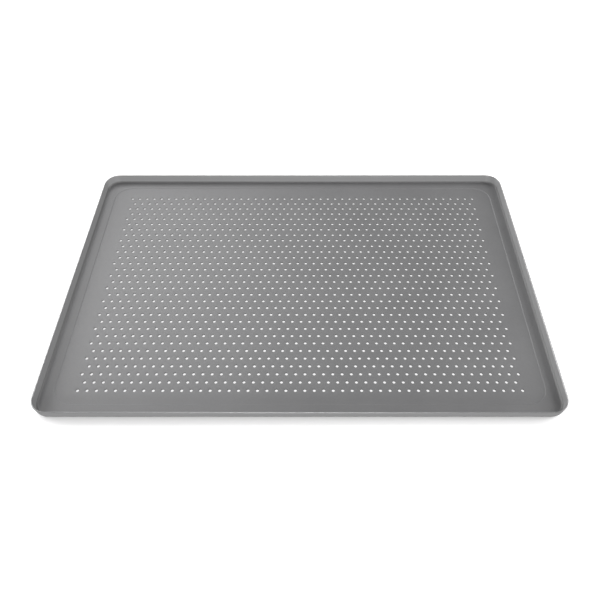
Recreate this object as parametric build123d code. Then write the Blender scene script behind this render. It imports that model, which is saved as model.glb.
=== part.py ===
from build123d import *
from math import cos, radians, sin
import os

# Flat perforated baking tray with a low upstand, pressed from one aluminium sheet.
#
# Frame: millimetres, +Z up, X along the long side, Y along the short side.
# The origin is the centre of the tray on the surface that it stands on.
# The one pressing is written as the two zones that the step line divides: the
# perforated panel and the raised rim around it. They meet face to face.

# Overall sizes, over the rounded top edge
overall_length = 600.0
overall_width = 400.0
overall_height = 14.5
corner_radius = 20.0

# Sheet metal
sheet = 1.5
bend_radius = 2.5
wall_draft = 4.0

# Step line that runs round the floor
step_inset = 16.8
step_corner_radius = 23.0
step_rise = 0.5

# Perforation: staggered rows, every second row one hole shorter and half a pitch over.
# The margins are the least distances from the step line to the outermost hole centres,
# and the field as a whole sits a little towards the front.
hole_diameter = 3.6
hole_pitch = 10.92
row_pitch = 10.87
side_margin = 26.0
end_margin = 19.0
field_shift = -2.2

# Heights that follow from the sheet and the step
band_top = step_rise + sheet
panel_length = overall_length - 2 * step_inset
panel_width = overall_width - 2 * step_inset

# Holes that fit between the margins
holes_in_long_row = int((panel_length - 2 * side_margin) / hole_pitch) + 1
row_count = int((panel_width - 2 * end_margin) / row_pitch) + 1

# Wall section, with x measured from the outermost edge (inwards is negative)
draft_sin = sin(radians(wall_draft))
draft_cos = cos(radians(wall_draft))
edge_radius = sheet / 2
edge_centre_z = overall_height - edge_radius
outer_bend_radius = bend_radius + sheet
middle_bend_radius = bend_radius + edge_radius
bend_centre_z = band_top + bend_radius
wall_length = (edge_centre_z - bend_centre_z + middle_bend_radius * draft_sin) / draft_cos
bend_centre_x = -edge_radius - wall_length * draft_sin - middle_bend_radius * draft_cos


def section_point(centre_x, centre_z, radius, angle):
    """Point of the wall section on a circle, at an angle in degrees from outwards."""
    return (centre_x + radius * cos(radians(angle)), centre_z + radius * sin(radians(angle)))


def row_positions(row):
    """Hole centres of one row, counted from the back of the tray."""
    is_short_row = row % 2 == 1
    count = holes_in_long_row - 1 if is_short_row else holes_in_long_row
    first_x = -hole_pitch * (count - 1) / 2
    y = field_shift + row_pitch * ((row_count - 1) / 2 - row)
    return [(first_x + hole_pitch * i, y) for i in range(count)]


def perforated_panel():
    """Flat plate inside the step line, with the round through holes."""
    outline = RectangleRounded(panel_length, panel_width, step_corner_radius).face().outer_wire()
    centres = [centre for row in range(row_count) for centre in row_positions(row)]
    holes = [Wire.make_circle(hole_diameter / 2, Plane(origin=(x, y, 0))) for x, y in centres]
    return extrude(Face(outline, holes), amount=sheet, dir=(0, 0, 1))


def wall_section():
    """Closed section of the bend, the leaning wall and its rounded top edge."""
    inner_foot = (bend_centre_x, band_top)
    outer_foot = (bend_centre_x, step_rise)
    mid_angle = -(90 + wall_draft) / 2
    bend = (bend_centre_x, bend_centre_z)
    inner_bend_mid = section_point(*bend, bend_radius, mid_angle)
    inner_bend_end = section_point(*bend, bend_radius, -wall_draft)
    outer_bend_mid = section_point(*bend, outer_bend_radius, mid_angle)
    outer_bend_end = section_point(*bend, outer_bend_radius, -wall_draft)
    edge = (-edge_radius, edge_centre_z)
    edge_inside = section_point(*edge, edge_radius, 180 - wall_draft)
    edge_top = section_point(*edge, edge_radius, 90 - wall_draft)
    edge_outside = section_point(*edge, edge_radius, -wall_draft)
    edges = [
        ThreePointArc(inner_foot, inner_bend_mid, inner_bend_end),
        Line(inner_bend_end, edge_inside),
        ThreePointArc(edge_inside, edge_top, edge_outside),
        Line(edge_outside, outer_bend_end),
        ThreePointArc(outer_bend_end, outer_bend_mid, outer_foot),
        Line(outer_foot, inner_foot),
    ]
    return make_face(edges)


def raised_rim():
    """Border band, bend, leaning wall and rounded edge, all round the tray."""
    foot_length = overall_length + 2 * bend_centre_x
    foot_width = overall_width + 2 * bend_centre_x
    foot_radius = corner_radius + bend_centre_x
    foot = RectangleRounded(foot_length, foot_width, foot_radius)
    opening = RectangleRounded(panel_length, panel_width, step_corner_radius)
    band = extrude(Pos(0, 0, step_rise) * (foot - opening), amount=sheet, dir=(0, 0, 1))
    section_plane = Plane(origin=(overall_length / 2, 0, 0), x_dir=(1, 0, 0), z_dir=(0, -1, 0))
    wall = sweep(section_plane * wall_section(), path=foot.face().outer_wire())
    return band + wall


parts = {
    "perforated_panel": perforated_panel(),
    "raised_rim": raised_rim(),
}

os.makedirs("parts", exist_ok=True)
for name, part in parts.items():
    export_step(part, f"parts/{name}.step")
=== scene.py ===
"""Looks of a flat perforated baking tray, pressed from one aluminium sheet.

The tray is modelled as one continuous skin: a perforated panel, a fine step,
a border band, a bend and a low leaning wall with a rounded top edge.
Everything is in metres in the part's own frame: +Z up, X along the long side.
"""

import logging
import math
from collections.abc import Callable
from dataclasses import dataclass
from enum import Enum

import bpy
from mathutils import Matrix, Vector


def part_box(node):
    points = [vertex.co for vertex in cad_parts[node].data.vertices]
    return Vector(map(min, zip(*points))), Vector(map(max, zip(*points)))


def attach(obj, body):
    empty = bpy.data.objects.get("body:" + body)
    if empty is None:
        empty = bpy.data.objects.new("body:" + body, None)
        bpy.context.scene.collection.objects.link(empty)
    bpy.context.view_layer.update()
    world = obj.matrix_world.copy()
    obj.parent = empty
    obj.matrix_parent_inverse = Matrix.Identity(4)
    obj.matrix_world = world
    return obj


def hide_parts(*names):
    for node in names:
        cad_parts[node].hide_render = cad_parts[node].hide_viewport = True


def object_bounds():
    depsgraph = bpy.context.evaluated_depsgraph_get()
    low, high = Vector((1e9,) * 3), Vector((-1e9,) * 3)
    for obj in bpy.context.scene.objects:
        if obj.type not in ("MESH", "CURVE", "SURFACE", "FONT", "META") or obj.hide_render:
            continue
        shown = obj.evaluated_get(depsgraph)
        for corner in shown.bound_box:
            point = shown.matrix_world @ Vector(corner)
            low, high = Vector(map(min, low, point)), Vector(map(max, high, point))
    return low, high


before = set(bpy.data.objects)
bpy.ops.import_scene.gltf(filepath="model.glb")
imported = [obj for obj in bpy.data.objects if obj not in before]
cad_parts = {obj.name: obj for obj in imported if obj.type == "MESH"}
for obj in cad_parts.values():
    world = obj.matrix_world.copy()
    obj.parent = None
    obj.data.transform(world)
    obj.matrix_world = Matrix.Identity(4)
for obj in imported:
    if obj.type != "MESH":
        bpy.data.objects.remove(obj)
cad_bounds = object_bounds()

log = logging.getLogger("tray")

MM = 0.001
TOUCH = 0.002 * MM

# The colour Mix node has sockets of one name for each kind of data, so they are told by place.
MIX_FIRST_COLOUR = 6
MIX_SECOND_COLOUR = 7
MIX_COLOUR_RESULT = 2

WHITE = (1.0, 1.0, 1.0, 1.0)

Place = Callable[[Vector], bool]
Number = float | int
Colour = tuple[float, float, float, float]
Repeats = tuple[float, float, float]


class Side(Enum):
    """The two faces of the sheet."""

    TOP = "top"
    BOTTOM = "bottom"


class Bench:
    """Hand moves in edit mode, on the object that is being shaped."""

    @staticmethod
    def clear() -> None:
        """Leaves edit mode and deselects every object."""
        if bpy.context.object is not None and bpy.context.object.mode != "OBJECT":
            bpy.ops.object.mode_set(mode="OBJECT")
        bpy.ops.object.select_all(action="DESELECT")

    @staticmethod
    def take(name: str) -> bpy.types.Object:
        """Names the object just added and returns it.

        Args:
            name: The object's new name.

        Returns:
            The active object.
        """
        piece = bpy.context.object
        piece.name = name
        piece.data.name = name
        return piece

    @staticmethod
    def edit(piece: bpy.types.Object, mode: tuple[bool, bool, bool] = (True, False, False)) -> None:
        """Opens edit mode on one object with nothing selected.

        Args:
            piece: The object to open.
            mode: Whether vertices, edges and faces are what is selected.
        """
        Bench.clear()
        bpy.context.view_layer.objects.active = piece
        piece.select_set(True)
        bpy.context.tool_settings.mesh_select_mode = mode
        bpy.ops.object.mode_set(mode="EDIT")
        bpy.ops.mesh.select_all(action="DESELECT")

    @staticmethod
    def pick_edges(piece: bpy.types.Object, where: Place, open_only: bool = False) -> None:
        """Selects the edges whose two ends a test accepts, and stays in edit mode.

        Args:
            piece: The object in edit mode.
            where: The test on each end's place.
            open_only: Whether only edges with a single face beside them count.
        """
        Bench.edit(piece, (False, True, False))
        if open_only:
            bpy.ops.mesh.select_non_manifold(
                extend=False, use_wire=False, use_boundary=True,
                use_multi_face=False, use_non_contiguous=False, use_verts=False,
            )
        else:
            bpy.ops.mesh.select_all(action="SELECT")
        bpy.ops.object.mode_set(mode="OBJECT")
        mesh = piece.data
        chosen = [
            edge.index for edge in mesh.edges
            if edge.select and all(where(mesh.vertices[v].co) for v in edge.vertices)
        ]
        for group in (mesh.vertices, mesh.edges, mesh.polygons):
            group.foreach_set("select", [False] * len(group))
        for index in chosen:
            mesh.edges[index].select = True
            for v in mesh.edges[index].vertices:
                mesh.vertices[v].select = True
        bpy.ops.object.mode_set(mode="EDIT")

    @staticmethod
    def pull(x: float = 0.0, y: float = 0.0, z: float = 0.0) -> None:
        """Extrudes what is selected by a straight move along the three axes."""
        bpy.ops.mesh.extrude_region_move(TRANSFORM_OT_translate={"value": (x, y, z)})

    @staticmethod
    def join(pieces: list[bpy.types.Object], name: str) -> bpy.types.Object:
        """Joins objects into the first one and welds the points that touch.

        Args:
            pieces: The objects to join.
            name: The joined object's name.

        Returns:
            The joined object, in object mode.
        """
        Bench.clear()
        for piece in pieces:
            piece.select_set(True)
        bpy.context.view_layer.objects.active = pieces[0]
        bpy.ops.object.join()
        joined = Bench.take(name)
        Bench.weld(joined)
        return joined

    @staticmethod
    def weld(piece: bpy.types.Object) -> None:
        """Merges the points that touch and leaves edit mode.

        Args:
            piece: The object to weld.
        """
        Bench.edit(piece)
        bpy.ops.mesh.select_all(action="SELECT")
        bpy.ops.mesh.remove_doubles(threshold=TOUCH)
        bpy.ops.object.mode_set(mode="OBJECT")

    @staticmethod
    def copy(piece: bpy.types.Object, name: str) -> bpy.types.Object:
        """Copies an object with a mesh of its own.

        Args:
            piece: The object to copy.
            name: The copy's name.

        Returns:
            The copy.
        """
        Bench.clear()
        piece.select_set(True)
        bpy.context.view_layer.objects.active = piece
        bpy.ops.object.duplicate(linked=False)
        return Bench.take(name)

    @staticmethod
    def shift(piece: bpy.types.Object, x: float, y: float) -> None:
        """Slides an object's whole mesh across the floor.

        Args:
            piece: The object whose mesh moves.
            x: How far it moves along the tray.
            y: How far it moves across the tray.
        """
        Bench.edit(piece)
        bpy.ops.mesh.select_all(action="SELECT")
        bpy.ops.transform.translate(value=(x, y, 0.0))
        bpy.ops.object.mode_set(mode="OBJECT")

    @staticmethod
    def finish_with(piece: bpy.types.Object, kind: str, **settings: object) -> None:
        """Adds one modifier and applies it.

        Args:
            piece: The object that gets it.
            kind: The modifier's type.
            settings: The modifier's settings.
        """
        Bench.clear()
        bpy.context.view_layer.objects.active = piece
        piece.select_set(True)
        bpy.ops.object.modifier_add(type=kind)
        modifier = piece.modifiers[-1]
        for key, value in settings.items():
            setattr(modifier, key, value)
        bpy.ops.object.modifier_apply(modifier=modifier.name)

    @staticmethod
    def settle(piece: bpy.types.Object) -> None:
        """Puts the place, turn and scale of an object into its mesh.

        Args:
            piece: The object, which ends at the origin, unturned and unscaled.
        """
        Bench.clear()
        bpy.context.view_layer.objects.active = piece
        piece.select_set(True)
        bpy.ops.object.transform_apply(location=True, rotation=True, scale=True)


@dataclass
class SectionPen:
    """Draws a section as a chain of edges, in the XZ plane at one depth.

    The pen walks: it goes straight or round a bend, and always knows its place and heading.
    Headings are in degrees, 0 is outwards (+X) and 90 is up.
    """

    x: float
    y: float
    z: float
    heading: float
    bend_steps: int = 6

    def start(self, name: str) -> bpy.types.Object:
        """Puts down the chain's first point.

        Args:
            name: The object's name.

        Returns:
            The object, in edit mode, with its one point selected.
        """
        Bench.clear()
        bpy.ops.mesh.primitive_plane_add(size=MM, location=(0.0, 0.0, 0.0))
        piece = Bench.take(name)
        Bench.edit(piece)
        bpy.ops.mesh.select_all(action="SELECT")
        bpy.ops.mesh.merge(type="CENTER")
        bpy.ops.transform.translate(value=(self.x, self.y, self.z))
        return piece

    def go(self, length: float) -> None:
        """Draws a straight run in the pen's heading.

        Args:
            length: The run's length.
        """
        step_x = length * math.cos(math.radians(self.heading))
        step_z = length * math.sin(math.radians(self.heading))
        Bench.pull(x=step_x, z=step_z)
        self.x += step_x
        self.z += step_z

    def bend(self, turn: float, radius: float, steps: int | None = None) -> None:
        """Draws an arc that leaves the pen's heading smoothly.

        Args:
            turn: Degrees turned, to the left where positive.
            radius: The arc's radius.
            steps: How many edges the arc has.
        """
        count = steps or self.bend_steps
        side = math.copysign(1.0, turn)
        centre_angle = math.radians(self.heading + side * 90.0)
        centre_x = self.x + radius * math.cos(centre_angle)
        centre_z = self.z + radius * math.sin(centre_angle)
        start_angle = math.atan2(self.z - centre_z, self.x - centre_x)
        for step in range(1, count + 1):
            angle = start_angle + math.radians(turn) * step / count
            next_x = centre_x + radius * math.cos(angle)
            next_z = centre_z + radius * math.sin(angle)
            Bench.pull(x=next_x - self.x, z=next_z - self.z)
            self.x = next_x
            self.z = next_z
        self.heading += turn


@dataclass(frozen=True)
class TraySizes:
    """Sizes of the tray that its rim and its perforated field share, in metres."""

    length: float
    width: float
    height: float
    sheet: float
    step_inset: float
    step_rise: float
    corner_radius: float = 20.0 * MM
    step_corner_radius: float = 23.0 * MM

    @classmethod
    def from_frame(cls) -> "TraySizes":
        """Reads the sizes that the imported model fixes."""
        low, high = (Vector(corner) for corner in cad_bounds)
        panel_low, panel_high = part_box("perforated_panel")
        rim_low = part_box("raised_rim")[0]
        return cls(
            length=high.x - low.x,
            width=high.y - low.y,
            height=high.z - low.z,
            sheet=panel_high.z - panel_low.z,
            step_inset=high.x - panel_high.x,
            step_rise=rim_low.z - low.z,
        )

    @property
    def band_top(self) -> float:
        """Height of the border band's upper face."""
        return self.step_rise + self.sheet


@dataclass
class PerforatedField:
    """The staggered rows of round holes, as a solid slab of sheet with open sides."""

    sizes: TraySizes
    pitch: float = 10.92 * MM
    row_pitch: float = 10.87 * MM
    long_row: int = 48
    rows: int = 31
    shift: float = -2.2 * MM
    hole_radius: float = 1.8 * MM
    roll_in: float = 0.22 * MM
    facets: int = 16

    @property
    def half_length(self) -> float:
        """Half of the field along the rows."""
        return self.pitch * self.long_row / 2

    @property
    def half_width(self) -> float:
        """Half of the field across the rows."""
        return self.row_pitch * self.rows / 2

    @property
    def second_row_y(self) -> float:
        """Middle of the first short row, before the field is shifted."""
        return self.half_width - self.row_pitch * 1.5

    def build(self) -> bpy.types.Object:
        """Models one hole, and repeats it into rows and rows into the field.

        Returns:
            The field, in its place in the tray.
        """
        first_x = -self.pitch * (self.long_row - 1) / 2
        short_row = self._cell()
        long_row = Bench.copy(short_row, "long_row")
        Bench.shift(long_row, first_x, self.half_width - self.row_pitch / 2)
        self._repeat(long_row, self.long_row, x=self.pitch)
        Bench.shift(short_row, first_x + self.pitch / 2, self.second_row_y)
        self._repeat(short_row, self.long_row - 1, x=self.pitch)
        last_row = Bench.copy(long_row, "last_row")
        Bench.shift(last_row, 0.0, -self.row_pitch * (self.rows - 1))
        ends = [self._row_end(side) for side in (-1, 1)]
        pair = Bench.join([long_row, short_row, *ends], "row_pair")
        self._repeat(pair, self.rows // 2, y=-2 * self.row_pitch)
        field = Bench.join([pair, last_row], "perforated_field")
        Bench.shift(field, 0.0, self.shift)
        return field

    def _cell(self) -> bpy.types.Object:
        """Models one hole with the patch of sheet round it.

        Returns:
            The patch, centred on the origin.
        """
        top = self.sizes.sheet
        mouth_radius = self.hole_radius + self.roll_in
        Bench.clear()
        bpy.ops.mesh.primitive_plane_add(size=1.0, location=(0.0, 0.0, top))
        cell = Bench.take("hole_cell")
        cell.scale = (self.pitch, self.row_pitch, 1.0)
        Bench.settle(cell)
        Bench.edit(cell)
        bpy.ops.mesh.select_all(action="SELECT")
        bpy.ops.mesh.delete(type="ONLY_FACE")
        for edge_y in (-self.row_pitch / 2, self.row_pitch / 2):
            Bench.pick_edges(cell, lambda co, y=edge_y: abs(co.y - y) < TOUCH)
            bpy.ops.mesh.subdivide(number_cuts=1)
        Bench.edit(cell)
        bpy.ops.mesh.select_all(action="SELECT")
        bpy.ops.mesh.duplicate()
        bpy.ops.transform.translate(value=(0.0, 0.0, -top))
        bpy.ops.mesh.primitive_circle_add(
            vertices=self.facets, radius=mouth_radius, location=(0.0, 0.0, top))
        Bench.pick_edges(cell, lambda co: co.z > top / 2)
        bpy.ops.mesh.fill(use_beauty=True)
        Bench.pick_edges(cell, lambda co: co.z > top / 2 and co.xy.length < mouth_radius + TOUCH)
        Bench.pull(z=-self.roll_in)
        narrowed = self.hole_radius / mouth_radius
        bpy.ops.transform.resize(value=(narrowed, narrowed, 1.0))
        Bench.pull(z=self.roll_in - top)
        Bench.pick_edges(cell, lambda co: co.z < TOUCH)
        bpy.ops.mesh.fill(use_beauty=True)
        Bench.clear()
        return cell

    def _row_end(self, side: int) -> bpy.types.Object:
        """Models the plain half cell that ends a short row.

        Args:
            side: Minus one for the row's left end, one for its right end.

        Returns:
            The half cell's two faces.
        """
        Bench.clear()
        centre_x = side * (self.half_length - self.pitch / 4)
        centre = (centre_x, self.second_row_y, self.sizes.sheet / 2)
        bpy.ops.mesh.primitive_cube_add(size=1.0, location=centre)
        end = Bench.take("row_end")
        end.scale = (self.pitch / 2, self.row_pitch, self.sizes.sheet)
        Bench.settle(end)
        Bench.edit(end, (False, False, True))
        bpy.ops.object.mode_set(mode="OBJECT")
        for face in end.data.polygons:
            face.select = abs(face.normal.z) < 0.5
        bpy.ops.object.mode_set(mode="EDIT")
        bpy.ops.mesh.delete(type="FACE")
        Bench.clear()
        return end

    @staticmethod
    def _repeat(piece: bpy.types.Object, count: int, x: float = 0.0, y: float = 0.0) -> None:
        """Repeats a piece in a straight line and welds the copies.

        Args:
            piece: The piece to repeat.
            count: How many there are in the end.
            x: The distance between two of them along the tray.
            y: The distance between two of them across the tray.
        """
        Bench.finish_with(
            piece, "ARRAY", count=count, use_relative_offset=False, use_constant_offset=True,
            constant_offset_displace=(x, y, 0.0), use_merge_vertices=True, merge_threshold=TOUCH,
        )


@dataclass
class PressedRim:
    """Step, border band, bend, leaning wall and its rounded top edge, all round."""

    sizes: TraySizes
    bend_radius: float = 2.5 * MM
    draft: float = 4.0
    step_run: float = 1.7 * MM
    corner_steps: int = 16
    top_edge_steps: int = 10
    step_curve_steps: int = 4

    def build(self) -> bpy.types.Object:
        """Models a quarter of the rim and mirrors it twice.

        Returns:
            The rim, open along the two edges where the field joins it.
        """
        wall = self._wall()
        steps = [self._step(side) for side in Side]
        quarter = Bench.join([wall, *steps], "rim_quarter")
        self._close_band(quarter, Side.TOP)
        self._close_band(quarter, Side.BOTTOM)
        Bench.finish_with(quarter, "MIRROR", use_axis=(True, True, False), merge_threshold=TOUCH)
        Bench.weld(quarter)
        return quarter

    @property
    def wall_length(self) -> float:
        """Length of the wall's flat part, from the bend to the rounded edge."""
        s = self.sizes
        lean = math.radians(self.draft)
        rise = s.height - s.sheet / 2 - s.band_top - self.bend_radius
        return (rise + (self.bend_radius + s.sheet / 2) * math.sin(lean)) / math.cos(lean)

    @property
    def foot_x(self) -> float:
        """Where the bend starts, at the right-hand side."""
        s = self.sizes
        lean = math.radians(self.draft)
        bend_reach = (self.bend_radius + s.sheet / 2) * math.cos(lean)
        return s.length / 2 - s.sheet / 2 - bend_reach - self.wall_length * math.sin(lean)

    def _wall(self) -> bpy.types.Object:
        """Draws the wall's section from foot to foot and sweeps it round a corner.

        Returns:
            The quarter of the wall.
        """
        s = self.sizes
        centre_x = s.length / 2 - s.corner_radius
        centre_y = s.width / 2 - s.corner_radius
        upright = 90.0 - self.draft
        pen = SectionPen(x=self.foot_x, y=centre_y, z=s.band_top, heading=0.0)
        wall = pen.start("rim_wall")
        pen.bend(upright, self.bend_radius)
        pen.go(self.wall_length)
        pen.bend(-180.0, s.sheet / 2, steps=self.top_edge_steps)
        pen.go(self.wall_length)
        pen.bend(-upright, self.bend_radius + s.sheet)
        self._sweep(wall, centre_x, centre_y)
        return wall

    def _step(self, side: Side) -> bpy.types.Object:
        """Draws the step on one face of the sheet and sweeps it round a corner.

        Args:
            side: The face of the sheet.

        Returns:
            The quarter of the step.
        """
        s = self.sizes
        face_z = s.sheet if side is Side.TOP else 0.0
        centre_x = s.length / 2 - s.step_inset - s.step_corner_radius
        centre_y = s.width / 2 - s.step_inset - s.step_corner_radius
        slope = 2 * math.degrees(math.atan2(s.step_rise, self.step_run))
        radius = self.step_run / 2 / math.sin(math.radians(slope))
        outer_x = s.length / 2 - s.step_inset + self.step_run / 2
        pen = SectionPen(x=outer_x, y=centre_y, z=face_z + s.step_rise, heading=180.0)
        step = pen.start("step_" + side.value)
        pen.bend(slope, radius, steps=self.step_curve_steps)
        pen.bend(-slope, radius, steps=self.step_curve_steps)
        self._sweep(step, centre_x, centre_y)
        return step

    def _sweep(self, piece: bpy.types.Object, centre_x: float, centre_y: float) -> None:
        """Turns a section round a corner and runs it straight to the tray's two middles.

        Args:
            piece: The object that holds the section.
            centre_x: The corner's centre along the tray.
            centre_y: The corner's centre across the tray.
        """
        Bench.edit(piece)
        bpy.ops.mesh.select_all(action="SELECT")
        bpy.ops.mesh.spin(
            steps=self.corner_steps, angle=-math.pi / 2,
            center=(centre_x, centre_y, 0.0), axis=(0.0, 0.0, 1.0),
        )
        Bench.pick_edges(piece, lambda co: abs(co.y - centre_y) < TOUCH and co.x > centre_x)
        Bench.pull(y=-centre_y)
        Bench.pick_edges(piece, lambda co: abs(co.x - centre_x) < TOUCH and co.y > centre_y)
        Bench.pull(x=-centre_x)
        Bench.clear()

    def _close_band(self, quarter: bpy.types.Object, side: Side) -> None:
        """Bridges the flat border band between the step and the bend on one face.

        Args:
            quarter: The quarter of the rim.
            side: The face of the sheet.
        """
        band_z = self.sizes.band_top if side is Side.TOP else self.sizes.step_rise
        Bench.pick_edges(quarter, lambda co: abs(co.z - band_z) < TOUCH, open_only=True)
        bpy.ops.mesh.bridge_edge_loops()
        Bench.clear()


@dataclass
class PressedTray:
    """The whole pressing as one closed skin."""

    sizes: TraySizes
    field: PerforatedField
    rim: PressedRim
    sharp_angle: float = 50.0
    flat_face_weight: int = 80

    def build(self) -> bpy.types.Object:
        """Joins the field and the rim with the plain sheet between them.

        Returns:
            The tray.
        """
        tray = Bench.join([self.rim.build(), self.field.build()], "pressed_tray")
        for face_z in (self.sizes.sheet, 0.0):
            Bench.pick_edges(tray, lambda co, z=face_z: abs(co.z - z) < TOUCH, open_only=True)
            bpy.ops.mesh.fill(use_beauty=True)
        Bench.edit(tray)
        bpy.ops.mesh.select_all(action="SELECT")
        bpy.ops.mesh.normals_make_consistent(inside=False)
        Bench.clear()
        bpy.context.view_layer.objects.active = tray
        tray.select_set(True)
        bpy.ops.object.shade_smooth_by_angle(angle=math.radians(self.sharp_angle))
        Bench.finish_with(tray, "WEIGHTED_NORMAL", keep_sharp=True, weight=self.flat_face_weight)
        return tray


class Shade:
    """A shader socket that takes part in Python arithmetic."""

    def __init__(self, nodes: "Nodes", socket: bpy.types.NodeSocket | None) -> None:
        """Wraps an output socket of a node tree.

        Args:
            nodes: The tree's builder.
            socket: The socket, or None where a node has no output.
        """
        self.nodes = nodes
        self.socket = socket

    def _math(self, operation: str, first: "Shade | Number", second: "Shade | Number") -> "Shade":
        """Adds one Math node.

        Args:
            operation: The node's operation.
            first: Its first value.
            second: Its second value.

        Returns:
            The node's result.
        """
        return self.nodes.add("ShaderNodeMath", {"operation": operation}, {0: first, 1: second})

    def __add__(self, other: "Shade | Number") -> "Shade":
        """Sum."""
        return self._math("ADD", self, other)

    __radd__ = __add__

    def __sub__(self, other: "Shade | Number") -> "Shade":
        """Difference."""
        return self._math("SUBTRACT", self, other)

    def __rsub__(self, other: "Shade | Number") -> "Shade":
        """Difference from a number."""
        return self._math("SUBTRACT", other, self)

    def __mul__(self, other: "Shade | Number") -> "Shade":
        """Product."""
        return self._math("MULTIPLY", self, other)

    __rmul__ = __mul__


class Nodes:
    """Builds one material's node tree."""

    def __init__(self, material: bpy.types.Material) -> None:
        """Empties the material's tree.

        Args:
            material: The material to build.
        """
        material.use_nodes = True
        self.tree = material.node_tree
        self.tree.nodes.clear()

    def add(
        self, kind: str, settings: dict[str, object] | None = None,
        inputs: dict[str | int, object] | None = None, output: str | int = 0,
    ) -> Shade:
        """Adds a node, sets it and feeds its sockets.

        Args:
            kind: The node's type.
            settings: Its own settings, which are set first.
            inputs: Values or links of its sockets, by name or place.
            output: The socket that is returned.

        Returns:
            The chosen output, or an empty one where the node has none.
        """
        node = self.tree.nodes.new(kind)
        for key, value in (settings or {}).items():
            setattr(node, key, value)
        for key, value in (inputs or {}).items():
            if isinstance(value, Shade):
                self.tree.links.new(value.socket, node.inputs[key])
            else:
                node.inputs[key].default_value = value
        return Shade(self, node.outputs[output] if len(node.outputs) else None)


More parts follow.
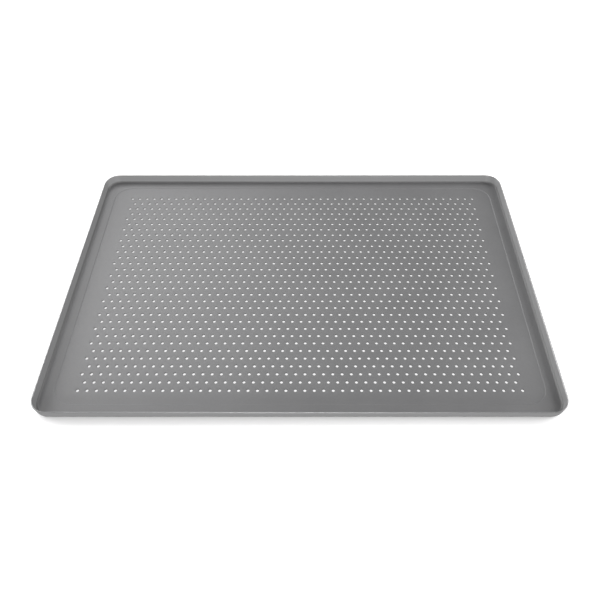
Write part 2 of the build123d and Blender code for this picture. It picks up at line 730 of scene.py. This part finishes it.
@dataclass(frozen=True)
class MatteAluminium:
    """Rolled and pressed aluminium sheet, dull grey, with painted light that makes the upstand a little
    brighter and painted shade that darkens the bend.
    """

    sizes: TraySizes
    name: str = "matte_aluminium"
    light_grey: Colour = (0.150, 0.150, 0.152, 1.0)
    dark_grey: Colour = (0.122, 0.122, 0.124, 1.0)
    # painted light: a lighter grey on the upstand, standing in for the light the walls catch
    painted_light_wall_grey: Colour = (0.245, 0.245, 0.247, 1.0)
    # painted shade: a dark grey laid into the bend at the foot of the wall, where shade falls in the
    # crease
    painted_shade_grey: Colour = (0.09, 0.09, 0.09, 1.0)
    cloud_repeats: Repeats = (14.0, 14.0, 14.0)
    mottle_repeats: Repeats = (420.0, 420.0, 420.0)
    grain_repeats: Repeats = (60.0, 1500.0, 1500.0)
    cloud_contrast: float = 1.2
    mottle_contrast: float = 0.6
    grain_contrast: float = 0.35
    upstand_start: float = 1.0 * MM
    painted_light_fade: float = 2.0 * MM
    bend_shade_start: float = 0.05 * MM
    bend_shade_fade_in: float = 0.35 * MM
    bend_shade_fade_out: float = 1.6 * MM
    bend_shade_strength: float = 0.8
    edge_width: float = 1.2 * MM
    edge_fade: float = 0.8 * MM
    metallic: float = 0.2
    edge_metallic: float = 0.5
    roughness: float = 0.5
    grain_roughness: float = 0.10
    cloud_roughness: float = 0.08
    edge_polish: float = 0.15
    bump_strength: float = 0.15
    bump_depth: float = 0.02 * MM
    mottle_bump: float = 0.7

    def material(self) -> bpy.types.Material:
        """Makes the material.

        Returns:
            The material.
        """
        material = bpy.data.materials.new(self.name)
        nodes = Nodes(material)
        place = nodes.add("ShaderNodeTexCoord", output="Object")
        cloud = self._noise(nodes, place, self.cloud_repeats, detail=3.0)
        mottle = self._noise(nodes, place, self.mottle_repeats, detail=3.0)
        grain = self._noise(nodes, place, self.grain_repeats, detail=4.0)
        edge = self._above(nodes, place, self.sizes.height - self.edge_width, self.edge_fade)
        uneven = (grain - 0.5) * self.grain_roughness + (cloud - 0.5) * self.cloud_roughness
        rough = uneven - edge * self.edge_polish + self.roughness
        bump = nodes.add("ShaderNodeBump", inputs={
            "Strength": self.bump_strength, "Distance": self.bump_depth,
            "Height": grain + mottle * self.mottle_bump,
        })
        surface = nodes.add("ShaderNodeBsdfPrincipled", inputs={
            "Base Color": self._colour(nodes, place, cloud, mottle, grain),
            "Metallic": edge * self.edge_metallic + self.metallic,
            "Roughness": rough, "Normal": bump,
        })
        nodes.add("ShaderNodeOutputMaterial", inputs={"Surface": surface})
        return material

    def _colour(self, nodes: Nodes, place: Shade, cloud: Shade, mottle: Shade, grain: Shade) -> Shade:
        """Mixes the sheet's greys: clouded on the flat, with painted shade darkening the bend and painted
        light brightening the upstand.

        Args:
            nodes: The material's tree.
            place: The place on the tray.
            cloud: The broad noise.
            mottle: The fine noise.
            grain: The noise drawn out along the rolling direction.

        Returns:
            The colour.
        """
        broad = (cloud - 0.5) * self.cloud_contrast
        fine = (mottle - 0.5) * self.mottle_contrast + (grain - 0.5) * self.grain_contrast
        bare = self._mix(nodes, broad + fine + 0.5, self.dark_grey, self.light_grey)
        band_top = self.sizes.band_top
        # painted light: the upstand is mixed towards a lighter grey where the walls catch more light
        painted_wall_light = self._above(nodes, place, band_top + self.upstand_start, self.painted_light_fade)
        sheet_colour = self._mix(nodes, painted_wall_light, bare, self.painted_light_wall_grey)
        # painted shade: the bend at the foot of the wall is darkened towards a dark grey
        in_bend = self._above(nodes, place, band_top + self.bend_shade_start, self.bend_shade_fade_in)
        over_bend = self._above(nodes, place, band_top + self.upstand_start, self.bend_shade_fade_out)
        bend_shade = in_bend * (1.0 - over_bend) * self.bend_shade_strength
        return self._mix(nodes, bend_shade, sheet_colour, self.painted_shade_grey)

    @staticmethod
    def _mix(nodes: Nodes, factor: Shade, first: Shade | Colour, second: Shade | Colour) -> Shade:
        """Mixes two colours.

        Args:
            nodes: The material's tree.
            factor: The share of the second colour.
            first: The colour where the factor is 0.
            second: The colour where the factor is 1.

        Returns:
            The mixed colour.
        """
        inputs = {"Factor": factor, MIX_FIRST_COLOUR: first, MIX_SECOND_COLOUR: second}
        return nodes.add("ShaderNodeMix", {"data_type": "RGBA"}, inputs, output=MIX_COLOUR_RESULT)

    @staticmethod
    def _noise(nodes: Nodes, place: Shade, scale: Repeats, detail: float) -> Shade:
        """Adds noise of its own scale along each axis, in repeats a metre.

        Args:
            nodes: The material's tree.
            place: The place on the tray.
            scale: Repeats a metre along X, Y and Z.
            detail: How many finer layers the noise has.

        Returns:
            The noise, about one half on average.
        """
        stretched = nodes.add("ShaderNodeMapping", inputs={"Vector": place, "Scale": scale})
        inputs = {"Vector": stretched, "Scale": 1.0, "Detail": detail, "Roughness": 0.6}
        return nodes.add("ShaderNodeTexNoise", {"noise_dimensions": "3D"}, inputs)

    @staticmethod
    def _above(nodes: Nodes, place: Shade, level: float, fade: float) -> Shade:
        """Makes a mask that goes from 0 to 1 above a height.

        Args:
            nodes: The material's tree.
            place: The place on the tray.
            level: The height where the mask starts.
            fade: How much higher it reaches 1.

        Returns:
            The mask.
        """
        height = nodes.add("ShaderNodeSeparateXYZ", inputs={"Vector": place}, output="Z")
        inputs = {"Value": height, "From Min": level, "From Max": level + fade}
        return nodes.add("ShaderNodeMapRange", inputs=inputs)


@dataclass(frozen=True)
class Softbox:
    """A square light that faces the tray."""

    name: str
    place: tuple[float, float, float]
    power: float
    size: float = 1.4

    def hang(self) -> None:
        """Adds the light."""
        Bench.clear()
        bpy.ops.object.light_add(type="AREA", location=self.place)
        light = bpy.context.object
        light.name = self.name
        light.data.shape = "SQUARE"
        light.data.size = self.size
        light.data.energy = self.power
        light.rotation_euler = (-Vector(self.place)).to_track_quat("-Z", "Y").to_euler()


@dataclass(frozen=True)
class Studio:
    """Pale floor, soft lights and the camera."""

    lens: float = 33.37
    shift_x: float = -0.0175
    camera_place: tuple[float, float, float] = (0.0120, -0.4765, 0.5710)
    camera_pitch: float = 52.11
    sensor_width: float = 36.0
    floor_span: float = 12.0
    floor_depth: float = 0.1 * MM
    floor_glow: float = 0.07
    underlay_length: float = 0.55
    underlay_width: float = 0.36
    underlay_depth: float = 0.05 * MM
    underlay_glow: float = 0.96
    room_light: float = 0.36
    softboxes: tuple[Softbox, ...] = (
        Softbox("left_softbox", (-1.9, 0.8, 0.6), 51.0),
        Softbox("right_softbox", (1.9, 0.3, 1.1), 40.0),
        Softbox("front_softbox", (0.0, -3.0, 0.8), 90.0),
        Softbox("back_left_softbox", (-0.9, 1.6, 2.1), 34.0),
    )

    def build(self) -> None:
        """Adds the floor, the lights and the camera."""
        self._floor()
        self._underlay()
        self._room()
        for softbox in self.softboxes:
            softbox.hang()
        self._camera()

    @staticmethod
    def _plane(name: str, length: float, width: float, z: float) -> bpy.types.Object:
        """Adds a level plane of the stage.

        Args:
            name: The plane's name.
            length: Its size along X.
            width: Its size along Y.
            z: Its height.

        Returns:
            The plane.
        """
        Bench.clear()
        bpy.ops.mesh.primitive_plane_add(size=1.0, location=(0.0, 0.0, z))
        plane = Bench.take(name)
        plane.scale = (length, width, 1.0)
        Bench.settle(plane)
        return plane

    def _floor(self) -> None:
        """Adds the pale floor, whose light doesn't reach the tray."""
        floor = self._plane("floor", self.floor_span, self.floor_span, -self.floor_depth)
        material = bpy.data.materials.new("pale_floor")
        nodes = Nodes(material)
        matte = nodes.add("ShaderNodeBsdfDiffuse", inputs={"Color": WHITE})
        glow = nodes.add("ShaderNodeEmission", inputs={"Color": WHITE, "Strength": self.floor_glow})
        surface = nodes.add("ShaderNodeAddShader", inputs={0: matte, 1: glow})
        nodes.add("ShaderNodeOutputMaterial", inputs={"Surface": surface})
        floor.data.materials.append(material)
        floor.visible_diffuse = False
        floor.visible_glossy = False

    def _underlay(self) -> None:
        """Adds a painted glow: a sheet, seen by the camera alone, that shows white through the holes
        where the floor under the tray is in shade.
        """
        # painted light: the sheet glows though it is no lamp and lights nothing
        underlay = self._plane(
            "painted_glow_underlay", self.underlay_length, self.underlay_width, -self.underlay_depth)
        material = bpy.data.materials.new("painted_glow_underlay")
        nodes = Nodes(material)
        surface = nodes.add("ShaderNodeEmission", inputs={"Color": WHITE, "Strength": self.underlay_glow})
        nodes.add("ShaderNodeOutputMaterial", inputs={"Surface": surface})
        underlay.data.materials.append(material)
        underlay.visible_diffuse = False
        underlay.visible_glossy = False
        underlay.visible_shadow = False

    def _room(self) -> None:
        """Sets the faint even light of a white room."""
        world = bpy.data.worlds.new("white_room")
        world.use_nodes = True
        background = world.node_tree.nodes["Background"]
        background.inputs["Color"].default_value = WHITE
        background.inputs["Strength"].default_value = self.room_light
        bpy.context.scene.world = world

    def _camera(self) -> None:
        """Adds the camera, in front of the tray and above it."""
        Bench.clear()
        tilt = math.radians(90.0 - self.camera_pitch)
        bpy.ops.object.camera_add(location=self.camera_place, rotation=(tilt, 0.0, 0.0))
        camera = bpy.context.object
        camera.name = "camera"
        camera.data.sensor_width = self.sensor_width
        camera.data.lens = self.lens
        camera.data.shift_x = self.shift_x
        bpy.context.scene.camera = camera


def main() -> None:
    """Builds the tray, dresses it and sets the stage."""
    logging.basicConfig(level=logging.INFO, format="%(name)s: %(message)s")
    scene = bpy.context.scene
    scene.view_settings.view_transform = "Standard"
    sizes = TraySizes.from_frame()
    tray = PressedTray(sizes, PerforatedField(sizes), PressedRim(sizes)).build()
    tray.data.materials.append(MatteAluminium(sizes).material())
    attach(tray, "root")
    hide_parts("perforated_panel", "raised_rim")
    log.info("pressed_tray: %d faces", len(tray.data.polygons))
    Studio().build()


if __name__ == "__main__":
    main()
